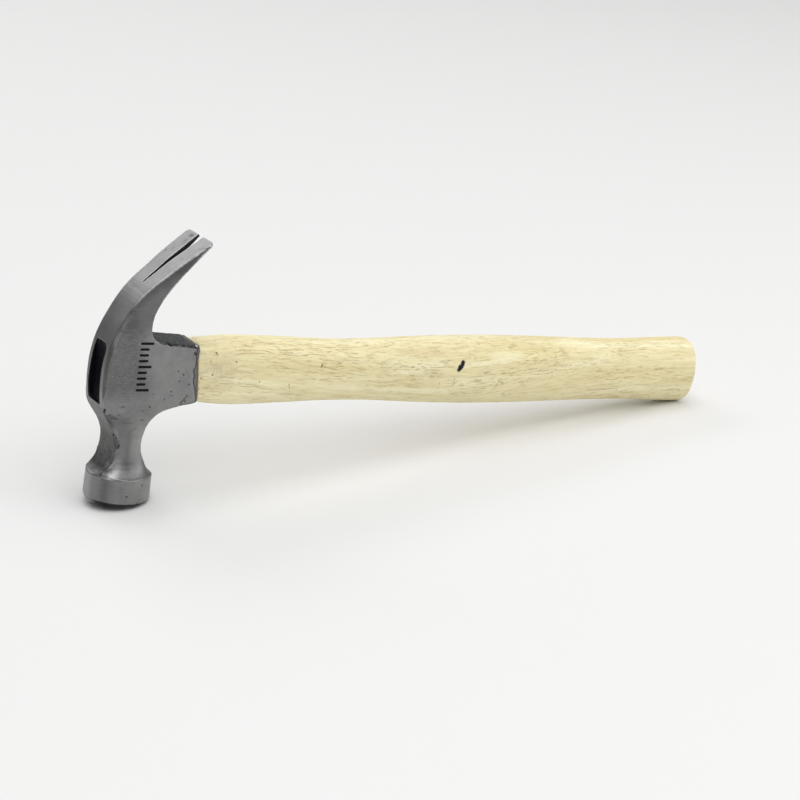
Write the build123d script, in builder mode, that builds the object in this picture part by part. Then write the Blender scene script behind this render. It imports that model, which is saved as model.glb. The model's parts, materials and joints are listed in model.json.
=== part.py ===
from build123d import *
import math
import os

# Claw hammer, small: a drop-forged steel head of about a quarter of a kilogram
# wedged on a straight hardwood handle. Millimetres.
#
# Row frame: the hammer stands the way it is put down on a bench, on the handle
# edge of its striking face and on the underside of its butt. Z = 0 is the
# bench, +X runs from the head to the butt, +Y is across the cheeks, and the
# origin is the middle of the footprint.
#
# Tool frame, used for every sketch: x along the handle axis towards the butt,
# z along the head from the striking face to the claw, y across the cheeks,
# with its origin where the two axes cross inside the eye.

# ---------------------------------------------------------- head dimensions
FACE_Z = -52.9           # striking face
FACE_CHAMFER = 1.2
POLL_R_TOP = 13.15       # poll radius at its upper rim
POLL_R_LOW = 13.3        # poll radius next to the face chamfer
POLL_TOP_Z = -42.2       # where the neck outlines end
POLL_SIDE_TOP_Z = -42.0  # top of the poll's straight side

# oversize blank that the round poll is cut from
BLANK_HALF = 14
BLANK_TOP_Z = -43
BLANK_END_Z = -60
HEAD_CUT_HALF = 15       # half depth of the extruded side outline

# square block with the round poll hollowed out of it
RING_TOP_Z = -29
RING_DEPTH = 30
RING_SIDE = 60
BORE_R = 20              # bore above the corner flare
BORE_TOP_Z = -20
BORE_LOW_Z = -29.5

CHEEK_HALF = 9.15        # half thickness over the ground cheeks
STRIP_HALF = 8.2         # half width of the top strip beside the eye
STRIP_BEVEL_X = 1.5      # how far the strip's edge bevel runs down the cheek
BEVEL_SLOPE = STRIP_BEVEL_X / (CHEEK_HALF - STRIP_HALF)
BEVEL_OVERRUN_IN = 0.3   # cutter beyond the bevel, on the strip
BEVEL_OVERRUN_OUT = 0.35  # and outside the cheek
BEVEL_END_CLEAR = 0.35   # how far the cutter stands off the head at its ends
BEVEL_CUT_X = -22

RIM_TOP = (23.7, 11.45)  # handle end of the socket (x, z): it leans a little
RIM_BOTTOM = (26.1, -11.9)
RIM_LEAN = (RIM_TOP[0] - RIM_BOTTOM[0]) / (RIM_TOP[1] - RIM_BOTTOM[1])

# Rounded socket corners, root to rim: (x, z of the surface, corner radius)
CLAW_SIDE_CORNER = [(8.5, 12.2, 0.45), (28.0, 11.24, 2.6)]
POLL_SIDE_CORNER = [(13.0, -14.35, 0.2), (16.4, -13.28, 0.9), (20.6, -12.6, 1.7), (28.0, -11.66, 2.9)]
CORNER_CLEAR = 0.03      # the arcs end this far outside the surfaces
CORNER_MARGIN = 2        # cutter beyond the surfaces

EYE_Z = -0.35            # centre of the eye
EYE_IN_X, EYE_OUT_X = 28.0, -16.0   # beyond the socket rim and the top strip
EYE_IN_W, EYE_IN_H = 9.8, 18.2      # at EYE_IN_X
EYE_OUT_W, EYE_OUT_H = 10.5, 24.2   # at EYE_OUT_X
EYE_R = 2.6

CLAW_ANGLE = math.atan2(20.0, 24.0)   # rise of the straight claw
NOTCH_ROOT = (1.0, 35.6)              # (x, z)
# Slot on the outside of the claw: (distance from its root, half width)
NOTCH_HALF = [(0, 0.12), (8, 0.62), (16, 1.15), (22, 1.56), (28, 2.0), (34, 2.46)]
NOTCH_START = -1.0       # cutter start, outside the claw
NOTCH_DEPTH = 14.0
NOTCH_FLARE = 2.1        # how much wider each side is after NOTCH_DEPTH
NOTCH_ROOT_SHIFT = 3.0   # how far the root has moved back by then

TIP_S = 29.0             # notch root to the claw tips, along the claw
TIP_LENGTH = 16.0        # length of the tip outline
TIP_INNER_Y = (0.4, 1.75)   # slot edge of the tip outline, at its start and end
TIP_OUTER_Y = 13.2
TIP_INNER_R, TIP_OUTER_R = 1.0, 3.4
TIP_CUT_SIZE = (17, 32)
TIP_CUT_SHIFT = 2.5      # middle of the cut, past the tips
TIP_CUT_START = -4       # outside the claw
TIP_CUT_DEPTH = 16

# ------------------------------------------- wedge, resin and handle dimensions
TENON_END_X = -10.4      # the tenon stops short of the top strip
TENON_ROOT_X = 27.0      # inside the grip
KERF_END_X = 13.0
KERF_HALF = 0.6
KERF_OVERRUN = 1
CUT_HALF = 20            # half height of the kerf and wood wedge extrusions

WEDGE_TIP_X = 9.0
WEDGE_HALF_BIG, WEDGE_HALF_TIP = 1.9, 0.45
# (x, y)
WOOD_WEDGE_OUTLINE = [
    (TENON_END_X, -WEDGE_HALF_BIG), (TENON_END_X, WEDGE_HALF_BIG),
    (WEDGE_TIP_X, WEDGE_HALF_TIP), (WEDGE_TIP_X, -WEDGE_HALF_TIP),
]

STEEL_WEDGE_LEN = 14.0
STEEL_WEDGE_W = 8.0
STEEL_WEDGE_Z = 5.8      # either side of the eye's centre
STEEL_HALF_BIG, STEEL_HALF_TIP = 0.95, 0.12
BARB_COUNT = 4
BARB_TAPER = 0.2         # half thickness lost per barb
BARB_STEP = 0.09         # part of that lost in the step itself
BARB_SETBACK = 0.25      # step ahead of its even division of the length

RESIN_LIP_X = -13.2      # where the resin meets the wall of the eye
RESIN_DISH_X = -12.2     # bottom of the dish in the resin
DISH_HALF_LEN = 14
DISH_END_RISE = 0.15     # dish profile above the lip at its ends

BUTT_X = 271.6
BUTT_FILLET = 2.3
SHOULDER_CUT_X = 10
SHOULDER_CUT_HALF = 30

# Handle sections: distance along the axis, half height, half width and the
# exponent of the super-ellipse (high = squarish, 2 = a true ellipse).
SECTIONS = [
    (22.0, 11.5, 8.7, 6.5),
    (27.5, 11.95, 8.95, 6.0),
    (33.0, 12.6, 9.35, 5.2),
    (40.0, 13.3, 9.85, 4.0),
    (50.0, 13.6, 10.25, 3.2),
    (62.0, 13.45, 10.3, 2.75),
    (74.0, 13.1, 10.2, 2.5),
    (88.0, 12.75, 10.05, 2.35),
    (101.0, 12.85, 10.1, 2.3),
    (114.0, 13.3, 10.45, 2.3),
    (130.0, 14.05, 11.0, 2.3),
    (147.0, 14.5, 11.35, 2.3),
    (165.0, 14.7, 11.5, 2.3),
    (182.0, 14.5, 11.35, 2.3),
    (200.0, 14.1, 11.05, 2.3),
    (218.0, 13.7, 10.75, 2.3),
    (234.0, 13.6, 10.7, 2.3),
    (250.0, 14.0, 11.0, 2.3),
    (262.0, 14.4, 11.3, 2.3),
    (BUTT_X, 14.6, 11.45, 2.3),
]

# ------------------------------------------------------------------ outlines
# The head seen from the side, (x, z).
# Side away from the handle, from the claw past the top strip
OUTER_CURVE = [
    (2.2, 36.7), (-1.1, 33.6), (-3.9, 30.4), (-6.1, 27.3), (-8.0, 24.0), (-9.6, 20.8),
    (-11.1, 17.5), (-12.3, 14.4), (-13.3, 11.2), (-14.0, 8.0), (-14.5, 4.7), (-14.75, 1.4),
    (-14.8, -1.9), (-14.7, -5.2), (-14.4, -8.6), (-13.95, -11.9), (-13.6, -13.7),
]
# Neck on the side away from the handle
OUTER_NECK = [
    OUTER_CURVE[-1], (-12.2, -16.6), (-10.6, -18.9), (-8.9, -21.2), (-7.5, -23.8), (-6.6, -26.4),
    (-6.2, -29.0), (-6.15, -31.5), (-6.45, -34.2), (-7.2, -36.7), (-8.6, -39.0), (-10.7, -40.9),
    (-13.3, POLL_TOP_Z),
]
# Neck on the handle side
INNER_NECK = [
    (20.6, -12.6), (16.4, -13.25), (12.3, -14.5), (9.3, -16.2), (7.2, -18.6), (5.8, -21.6),
    (5.0, -25.0), (4.8, -28.4), (5.15, -31.6), (6.1, -34.6), (7.7, -37.5), (10.0, -40.1),
    (13.3, POLL_TOP_Z),
]
# Claw on the handle side, from the tips to the socket
INNER_CLAW = [
    (22.2, 51.6), (20.1, 49.4), (17.3, 46.1), (14.7, 42.7), (12.2, 39.3), (9.9, 35.9),
    (7.7, 32.6), (5.8, 29.3), (4.4, 26.3), (3.5, 23.3), (3.15, 20.4), (3.35, 17.6),
    (4.3, 14.9), (6.1, 12.9), (8.8, 12.2),
]
CLAW_END = [(25.4, 54.9), (24.8, 55.4), (24.0, 54.7)]

# Half outline of the head seen along the handle, (y, z).
CLAW_FLARE = [
    (CHEEK_HALF, 29.0), (9.2, 32.5), (9.5, 36.3), (10.35, 42.2), (11.35, 48.5), (12.1, 56.0),
]
CHEEK_NECK = [
    (CHEEK_HALF, -17.5), (8.8, -24.0), (8.45, -28.5), (8.4, -32.0), (8.75, -35.4), (9.7, -38.4),
    (11.2, -40.6), (13.3, POLL_TOP_Z),
]

# Flare that rounds the neck's corners into the poll, (radius, z).
CORNER_FLARE = [
    (13.6, BORE_LOW_Z), (10.9, -32.6), (10.8, -35.2), (11.0, -37.0), (11.5, -38.7),
    (12.25, -40.2), (13.25, -41.5),
]

# ------------------------------------------------------------- resting pose
# (x, z): the face touches at its chamfered handle edge, the butt just ahead of
# its rounded end.
FACE_CONTACT = (POLL_R_LOW - FACE_CHAMFER, FACE_Z)
BUTT_CONTACT = (269.64, -14.54)
TILT = math.atan2(BUTT_CONTACT[1] - FACE_CONTACT[1], BUTT_CONTACT[0] - FACE_CONTACT[0])
TILT_COS, TILT_SIN = math.cos(TILT), math.sin(TILT)
ORIGIN_X = -124.845      # puts the footprint's middle at x = 0
ORIGIN_Z = FACE_CONTACT[0] * TILT_SIN - FACE_CONTACT[1] * TILT_COS

tool = Plane(
    origin=(ORIGIN_X, 0, ORIGIN_Z), x_dir=(TILT_COS, 0, -TILT_SIN), z_dir=(TILT_SIN, 0, TILT_COS)
)
ALONG = Axis(tool.origin, tool.x_dir)
UP = Axis(tool.origin, tool.z_dir)


def at(x, y, z):
    """A point of the tool frame, in the row frame."""
    return tool.from_local_coords(Vector(x, y, z))


def side(y=0):
    """Sketch plane along the head and handle at y: sketch (x, y) is tool (x, z), normal -y."""
    return Plane(origin=at(0, y, 0), x_dir=tool.x_dir, z_dir=(0, -1, 0))


def across(x, z=0.0):
    """Sketch plane square to the handle axis at x: sketch (x, y) is tool (y, z)."""
    return Plane(origin=at(x, 0, z), x_dir=(0, 1, 0), z_dir=tool.x_dir)


def rim_x(z):
    """The leaning socket rim's x at a height."""
    return RIM_TOP[0] + RIM_LEAN * (z - RIM_TOP[1])


def eye_size(x):
    """Width and height of the tapered eye at a station."""
    share = (x - EYE_IN_X) / (EYE_OUT_X - EYE_IN_X)
    return EYE_IN_W + share * (EYE_OUT_W - EYE_IN_W), EYE_IN_H + share * (EYE_OUT_H - EYE_IN_H)


def eye_solid(x_from, x_to):
    """The stretch of the tapered eye between two stations, as a solid."""
    with BuildPart() as filler:
        for x in (x_from, x_to):
            with BuildSketch(across(x, EYE_Z)):
                RectangleRounded(*eye_size(x), EYE_R)
        loft(ruled=True)
    return filler.part


# ---------------------------------------------------------------------- head
def poll_ring():
    """Everything outside the round poll, to be cut away below the neck."""
    with BuildPart() as ring:
        with BuildSketch(Plane(origin=at(0, 0, RING_TOP_Z), x_dir=tool.x_dir, z_dir=-tool.z_dir)):
            Rectangle(RING_SIDE, RING_SIDE)
        extrude(amount=RING_DEPTH)
        with BuildSketch(side()):
            with BuildLine():
                Polyline((0, BORE_TOP_Z), (BORE_R, BORE_TOP_Z), (BORE_R, BORE_LOW_Z), CORNER_FLARE[0])
                Spline(*CORNER_FLARE)
                Polyline(
                    CORNER_FLARE[-1], (POLL_R_TOP, POLL_SIDE_TOP_Z),
                    (POLL_R_LOW, FACE_Z + FACE_CHAMFER), (POLL_R_LOW - FACE_CHAMFER, FACE_Z),
                    (0, FACE_Z), (0, BORE_TOP_Z),
                )
            make_face()
        revolve(axis=UP, mode=Mode.SUBTRACT)
    return ring.part


def beveled(inward):
    """The outer curve moved square to itself; the shift fades out at both ends."""
    points = []
    last = len(OUTER_CURVE) - 1
    for i in range(1, last):
        (x0, z0), (x, z), (x1, z1) = OUTER_CURVE[i - 1:i + 2]
        run = math.hypot(x1 - x0, z1 - z0)
        fade = min(1, (i - 1) / 3.0, (last - 1 - i) / 2.0)
        shift = inward * fade - BEVEL_END_CLEAR * (1 - fade)
        points.append((x - (z1 - z0) / run * shift, z + (x1 - x0) / run * shift))
    return points


def strip_bevel():
    """Ruled cutter that leaves the strip's edge and runs down onto the +y cheek."""
    with BuildPart() as cutter:
        for y in (STRIP_HALF - BEVEL_OVERRUN_IN, CHEEK_HALF + BEVEL_OVERRUN_OUT):
            edge = beveled((y - STRIP_HALF) * BEVEL_SLOPE)
            with BuildSketch(side(y)):
                with BuildLine():
                    Spline(*edge)
                    Polyline(
                        edge[-1], (BEVEL_CUT_X, edge[-1][1]), (BEVEL_CUT_X, edge[0][1]), edge[0]
                    )
                make_face()
        loft(ruled=True)
    return cutter.part


def socket_corner(stations, up):
    """Cutter for a +y socket corner; up is 1 on the claw side, -1 on the poll side."""
    edge_y = CHEEK_HALF + CORNER_MARGIN
    with BuildPart() as cutter:
        for x, z, radius in stations:
            arc_y = CHEEK_HALF - radius + CORNER_CLEAR
            arc_z = z - up * (radius - CORNER_CLEAR)
            edge_z = z + up * CORNER_MARGIN
            with BuildSketch(across(x)):
                with BuildLine():
                    CenterArc((arc_y, arc_z), radius, 0 if up > 0 else 270, 90)
                    Polyline(
                        (arc_y, arc_z + up * radius), (arc_y, edge_z), (edge_y, edge_z),
                        (edge_y, arc_z), (arc_y + radius, arc_z),
                    )
                make_face()
        loft(ruled=True)
    return cutter.part


def claw_tip():
    """Outline of one claw's rounded tip, x along the claw from the notch root."""
    start = TIP_S - TIP_LENGTH
    with BuildSketch() as tip:
        Polygon(
            (start, TIP_INNER_Y[0]), (TIP_S, TIP_INNER_Y[1]), (TIP_S, TIP_OUTER_Y),
            (start, TIP_OUTER_Y), align=None,
        )
        fillet(tip.vertices().group_by(Axis.X)[-1].sort_by(Axis.Y)[0], TIP_INNER_R)
        fillet(tip.vertices().group_by(Axis.X)[-1].sort_by(Axis.Y)[-1], TIP_OUTER_R)
    return tip.sketch


def notch_outline(extra, root_shift):
    """Half outline of the nail slot, (distance from the root, half width)."""
    length = NOTCH_HALF[-1][0]
    return [(d - root_shift * (1 - d / length), half + extra) for d, half in NOTCH_HALF]


def build_head():
    # plane lying on the straight outer side of the claws, x along them, z inwards
    rise_cos, rise_sin = math.cos(CLAW_ANGLE), math.sin(CLAW_ANGLE)
    claw_plane = Plane(
        origin=at(NOTCH_ROOT[0], 0, NOTCH_ROOT[1]),
        x_dir=at(rise_cos, 0, rise_sin) - at(0, 0, 0),
        z_dir=at(rise_sin, 0, -rise_cos) - at(0, 0, 0),
    )
    ring = poll_ring()
    edge_cutters = [
        socket_corner(CLAW_SIDE_CORNER, 1),
        socket_corner(POLL_SIDE_CORNER, -1),
        strip_bevel(),
    ]
    tip = claw_tip()

    with BuildPart() as head:
        # side outline, crossed with the outline seen along the handle
        with BuildSketch(side()):
            with BuildLine():
                Polyline(CLAW_END[-1], OUTER_CURVE[0])
                Spline(*OUTER_CURVE, tangents=[(-0.77, -0.64), (0.25, -0.97)])
                Spline(*OUTER_NECK)
                Polyline(
                    OUTER_NECK[-1], (-BLANK_HALF, BLANK_TOP_Z), (-BLANK_HALF, FACE_Z),
                    (BLANK_HALF, FACE_Z), (BLANK_HALF, BLANK_TOP_Z), INNER_NECK[-1],
                )
                Spline(*INNER_NECK)
                Polyline(INNER_NECK[0], RIM_BOTTOM, RIM_TOP, INNER_CLAW[-1])
                Spline(*INNER_CLAW)
                Polyline(INNER_CLAW[0], *CLAW_END)
            make_face()
        extrude(amount=HEAD_CUT_HALF, both=True)
        with BuildSketch(across(-30)):
            with BuildLine():
                Polyline(CLAW_FLARE[0], CHEEK_NECK[0])
                Spline(*CHEEK_NECK, tangents=[(0, -1), (0.8, -0.6)])
                Polyline(
                    CHEEK_NECK[-1], (BLANK_HALF, BLANK_TOP_Z), (BLANK_HALF, BLANK_END_Z),
                    (0, BLANK_END_Z), (0, CLAW_FLARE[-1][1]), CLAW_FLARE[-1],
                )
                Spline(*CLAW_FLARE, tangents=[(0, 1), (0.1, 1)])
            make_face()
            mirror(about=Plane.YZ)
        extrude(amount=80, mode=Mode.INTERSECT)
        add(ring, mode=Mode.SUBTRACT)

        # socket corners and strip bevels, on both cheeks
        for cutter in edge_cutters:
            add(cutter, mode=Mode.SUBTRACT)
            add(cutter.mirror(Plane.XZ), mode=Mode.SUBTRACT)

        # eye
        for x in (EYE_IN_X, EYE_OUT_X):
            with BuildSketch(across(x, EYE_Z)):
                RectangleRounded(*eye_size(x), EYE_R)
        loft(ruled=True, mode=Mode.SUBTRACT)

        # nail slot: it widens towards the claw tips and towards the inside
        for depth, extra, root_shift in (
            (NOTCH_START, 0, 0),
            (NOTCH_DEPTH, NOTCH_FLARE, NOTCH_ROOT_SHIFT),
        ):
            half = notch_outline(extra, root_shift)
            with BuildSketch(claw_plane.offset(depth)):
                with BuildLine():
                    Spline(*half)
                    Spline(*[(d, -w) for d, w in half])
                    Line(half[0], (half[0][0], -half[0][1]))
                    Line(half[-1], (half[-1][0], -half[-1][1]))
                make_face()
        loft(ruled=True, mode=Mode.SUBTRACT)

        # rounded claw tips
        with BuildSketch(claw_plane.offset(TIP_CUT_START)):
            with Locations((TIP_S + TIP_CUT_SHIFT, 0)):
                Rectangle(*TIP_CUT_SIZE)
            add(tip, mode=Mode.SUBTRACT)
            add(tip.mirror(Plane.XZ), mode=Mode.SUBTRACT)
        extrude(amount=TIP_CUT_DEPTH, mode=Mode.SUBTRACT)
    return head.part


# -------------------------------------------------------------- inside the eye
def build_steel_wedge(z_mid):
    """Tapered wedge square across the tenon, with stepped barbs along both flanks."""
    flank = [(TENON_END_X, STEEL_HALF_BIG)]     # (x, half thickness)
    for i in range(1, BARB_COUNT + 1):
        x = TENON_END_X + STEEL_WEDGE_LEN / BARB_COUNT * i - BARB_SETBACK
        half = STEEL_HALF_BIG - BARB_TAPER * i
        flank += [(x, half + BARB_STEP), (x, half)]
    # the last step gives way to the tip
    flank[-1] = (TENON_END_X + STEEL_WEDGE_LEN, STEEL_HALF_TIP)

    with BuildPart() as wedge:
        with BuildSketch(side()):
            with BuildLine():
                upper = [(x, z_mid + half) for x, half in flank]
                lower = [(x, z_mid - half) for x, half in reversed(flank)]
                Polyline(*upper, *lower, close=True)
            make_face()
        extrude(amount=STEEL_WEDGE_W / 2, both=True)
    return wedge.part


def build_wood_wedge(steel_wedges):
    """Hardwood wedge driven lengthwise into the saw kerf."""
    eye = eye_solid(TENON_END_X, WEDGE_TIP_X)
    with BuildPart() as wedge:
        with BuildSketch(tool.offset(-CUT_HALF)):
            Polygon(*WOOD_WEDGE_OUTLINE, align=None)
        extrude(amount=2 * CUT_HALF)
        add(eye, mode=Mode.INTERSECT)
        for steel in steel_wedges:
            add(steel, mode=Mode.SUBTRACT)
    return wedge.part


def build_resin_seal():
    eye = eye_solid(RESIN_LIP_X, TENON_END_X)
    # dished top: an arc across the eye that flattens out towards both ends
    dish = RESIN_DISH_X - RESIN_LIP_X
    swing = (EYE_OUT_W**2 / 4 + dish**2) / (2 * dish)
    axis_x = RESIN_DISH_X - swing
    end_x = RESIN_LIP_X - DISH_END_RISE
    top_z, low_z = EYE_Z + DISH_HALF_LEN, EYE_Z - DISH_HALF_LEN
    with BuildPart() as seal:
        add(eye)
        with BuildSketch(side()):
            with BuildLine():
                Polyline((end_x, low_z), (axis_x, low_z), (axis_x, top_z), (end_x, top_z))
                ThreePointArc((end_x, top_z), (RESIN_DISH_X, EYE_Z), (end_x, low_z))
            make_face()
        revolve(axis=Axis(at(axis_x, 0, 0), tool.z_dir), mode=Mode.SUBTRACT)
    return seal.part


# ------------------------------------------------------------------- handle
def squash_ring(half_h, half_w, power, count=40):
    """Points of a super-ellipse at even angles, (y, z)."""
    ring = []
    for i in range(count):
        angle = 2 * math.pi * (i + 0.5) / count
        y, z = math.cos(angle), math.sin(angle)
        radius = (abs(y / half_w) ** power + abs(z / half_h) ** power) ** (-1 / power)
        ring.append((radius * y, radius * z))
    return ring


def build_grip():
    """The handle outside the head."""
    with BuildPart() as grip:
        for x, half_h, half_w, power in SECTIONS:
            with BuildSketch(across(x)):
                with BuildLine():
                    Spline(*squash_ring(half_h, half_w, power), periodic=True)
                make_face()
        loft()
        fillet(grip.edges().group_by(ALONG)[-1], BUTT_FILLET)
        # shoulder, parallel to the socket's leaning rim
        reach = SHOULDER_CUT_HALF
        with BuildSketch(side()):
            Polygon(
                (SHOULDER_CUT_X, -reach), (rim_x(-reach), -reach),
                (rim_x(reach), reach), (SHOULDER_CUT_X, reach), align=None,
            )
        extrude(amount=reach, both=True, mode=Mode.SUBTRACT)
    return grip.part


def build_handle(steel_wedges):
    grip = build_grip()
    tenon = eye_solid(TENON_END_X, TENON_ROOT_X)
    kerf_start = TENON_END_X - KERF_OVERRUN
    with BuildPart() as handle:
        add(grip)
        add(tenon)
        # saw kerf, spread by the wood wedge
        with BuildSketch(tool.offset(-CUT_HALF)):
            Polygon(
                (kerf_start, -KERF_HALF), (kerf_start, KERF_HALF),
                (KERF_END_X, KERF_HALF), (KERF_END_X, -KERF_HALF), align=None,
            )
            Polygon(*WOOD_WEDGE_OUTLINE, align=None)
        extrude(amount=2 * CUT_HALF, mode=Mode.SUBTRACT)
        for steel in steel_wedges:
            add(steel, mode=Mode.SUBTRACT)
    return handle.part


# ------------------------------------------------------------------- export
steel_upper = build_steel_wedge(EYE_Z + STEEL_WEDGE_Z)
steel_lower = build_steel_wedge(EYE_Z - STEEL_WEDGE_Z)
steel_pair = (steel_upper, steel_lower)
pieces = {
    "head": build_head(),
    "handle": build_handle(steel_pair),
    "wood_wedge": build_wood_wedge(steel_pair),
    "steel_wedge_upper": steel_upper,
    "steel_wedge_lower": steel_lower,
    "resin_seal": build_resin_seal(),
}
os.makedirs("parts", exist_ok=True)
for name, part in pieces.items():
    part.label = name
    export_step(part, f"parts/{name}.step")
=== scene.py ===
import json
import math

import bmesh
import bpy
import numpy as np
from mathutils import Matrix, Vector


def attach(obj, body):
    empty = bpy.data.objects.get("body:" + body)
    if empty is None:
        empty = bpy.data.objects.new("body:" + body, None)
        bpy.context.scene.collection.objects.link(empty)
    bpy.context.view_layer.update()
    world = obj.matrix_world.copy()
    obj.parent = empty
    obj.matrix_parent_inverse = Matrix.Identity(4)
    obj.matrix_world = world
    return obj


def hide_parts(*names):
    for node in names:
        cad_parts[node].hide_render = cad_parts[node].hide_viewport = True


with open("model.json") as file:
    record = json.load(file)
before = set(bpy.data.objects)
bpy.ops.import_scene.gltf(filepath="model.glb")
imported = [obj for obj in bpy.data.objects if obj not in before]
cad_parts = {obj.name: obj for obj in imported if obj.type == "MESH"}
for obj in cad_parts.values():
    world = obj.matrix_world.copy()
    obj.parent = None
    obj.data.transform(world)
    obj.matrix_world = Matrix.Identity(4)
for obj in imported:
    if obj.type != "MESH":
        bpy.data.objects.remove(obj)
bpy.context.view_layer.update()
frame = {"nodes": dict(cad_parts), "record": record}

MM = 0.001

# ------------------------------------------------------------------ tool frame
# x along the handle towards the butt, z along the head away from the face,
# y across the cheeks; origin where the two axes cross.  All in millimetres.
_m = {m["name"]: m for m in frame["record"]["mounts"]}
TZ = -Vector(_m["striking_face"]["axis"]).normalized()
TX = Vector(_m["butt_end"]["axis"]).normalized()
TY = TZ.cross(TX).normalized()
_butt, _face = Vector(_m["butt_end"]["pos_m"]), Vector(_m["striking_face"]["pos_m"])
ORIGIN = _butt - TX * (_butt - _face).dot(TX)
BUTT_X = (_butt - ORIGIN).dot(TX) / MM
FACE_Z = (_face - ORIGIN).dot(TZ) / MM
R3 = np.array([list(TX), list(TY), list(TZ)])


def to_tool(co):
    return (co - np.array(ORIGIN)) @ R3.T / MM


def to_row(co):
    return (co * MM) @ R3 + np.array(ORIGIN)


# --------------------------------------------------------------------- noise
def _hash(ix, iy, iz, seed):
    h = (ix * 374761393 + iy * 668265263 + iz * 2147483647 + seed * 1274126177) & 0xFFFFFFFF
    h = ((h ^ (h >> 13)) * 1274126177) & 0xFFFFFFFF
    h = (h ^ (h >> 16)) & 0xFFFFFFFF
    return h.astype(np.float64) / 4294967295.0 * 2 - 1


def noise(p, scale, seed=0, octaves=1):
    """Smooth value noise in -1..1 at points p; scale is a cell size per axis."""
    p = np.asarray(p, float) / np.asarray(scale, float)
    total, amp, norm = np.zeros(len(p)), 1.0, 0.0
    for o in range(octaves):
        f = np.floor(p).astype(np.int64)
        t = p - f
        t = t * t * t * (t * (t * 6 - 15) + 10)
        v = 0
        for dx in (0, 1):
            for dy in (0, 1):
                for dz in (0, 1):
                    wx = t[:, 0] if dx else 1 - t[:, 0]
                    wy = t[:, 1] if dy else 1 - t[:, 1]
                    wz = t[:, 2] if dz else 1 - t[:, 2]
                    v = v + wx * wy * wz * _hash(f[:, 0] + dx, f[:, 1] + dy, f[:, 2] + dz, seed + o * 17)
        total += v * amp
        norm += amp
        amp *= 0.5
        p = p * 2.03 + 11.3
    return total / norm


def step(a, b, x):
    t = np.clip((x - a) / (b - a), 0, 1)
    return t * t * (3 - 2 * t)


# ------------------------------------------------------------------ mesh tools
def dense_copy(node, voxel, rounds):
    """The CAD node's shape as an even, closed quad mesh in tool millimetres: (mesh, verts, edges, vertex degrees)."""
    src = frame["nodes"][node]
    me = src.data.copy()
    co = np.zeros(len(me.vertices) * 3)
    me.vertices.foreach_get("co", co)
    me.vertices.foreach_set("co", to_tool(co.reshape(-1, 3)).ravel())
    bm = bmesh.new()
    bm.from_mesh(me)
    bmesh.ops.remove_doubles(bm, verts=bm.verts, dist=0.0005)
    bm.to_mesh(me)
    bm.free()
    ob = bpy.data.objects.new("tmp_" + node, me)
    bpy.context.scene.collection.objects.link(ob)
    mod = ob.modifiers.new("r", "REMESH")
    mod.mode = "VOXEL"
    mod.voxel_size = voxel
    mod.adaptivity = 0
    dg = bpy.context.evaluated_depsgraph_get()
    out = bpy.data.meshes.new_from_object(ob.evaluated_get(dg))
    bpy.data.objects.remove(ob)
    v = np.zeros(len(out.vertices) * 3)
    out.vertices.foreach_get("co", v)
    v = v.reshape(-1, 3)
    e = np.zeros(len(out.edges) * 2, int)
    out.edges.foreach_get("vertices", e)
    e = e.reshape(-1, 2)
    deg = np.bincount(e.ravel(), minlength=len(v)).astype(float)[:, None]
    for i in range(rounds):
        for lam in (0.55, -0.57):
            s = np.zeros_like(v)
            np.add.at(s, e[:, 0], v[e[:, 1]])
            np.add.at(s, e[:, 1], v[e[:, 0]])
            v = v + lam * (s / deg - v)
    return out, v, e, deg


def neighbour_mean(a, e, deg):
    s = np.zeros_like(a)
    np.add.at(s, e[:, 0], a[e[:, 1]])
    np.add.at(s, e[:, 1], a[e[:, 0]])
    return s / (deg if a.ndim == 2 else deg[:, 0])


def normals_of(me, v):
    me.vertices.foreach_set("co", v.ravel())
    me.update()
    n = np.zeros(len(v) * 3)
    me.vertex_normals.foreach_get("vector", n)
    return n.reshape(-1, 3)


def put_attr(me, name, values):
    if name in me.attributes:
        me.attributes.remove(me.attributes[name])
    if values.ndim == 1:
        a = me.attributes.new(name, "FLOAT", "POINT")
        a.data.foreach_set("value", values.astype(np.float32))
    else:
        a = me.attributes.new(name, "FLOAT_VECTOR", "POINT")
        a.data.foreach_set("vector", values.astype(np.float32).ravel())


def finish_piece(me, v, name, material, node=None, smooth=True):
    put_attr(me, "tool", v)
    me.vertices.foreach_set("co", to_row(v).ravel())
    me.update()
    me.polygons.foreach_set("use_smooth", [smooth] * len(me.polygons))
    me.materials.clear()
    me.materials.append(material)
    me.name = name
    ob = bpy.data.objects.new(name, me)
    bpy.context.scene.collection.objects.link(ob)
    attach(ob, "root")
    if node:
        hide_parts(node)
    return ob


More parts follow.
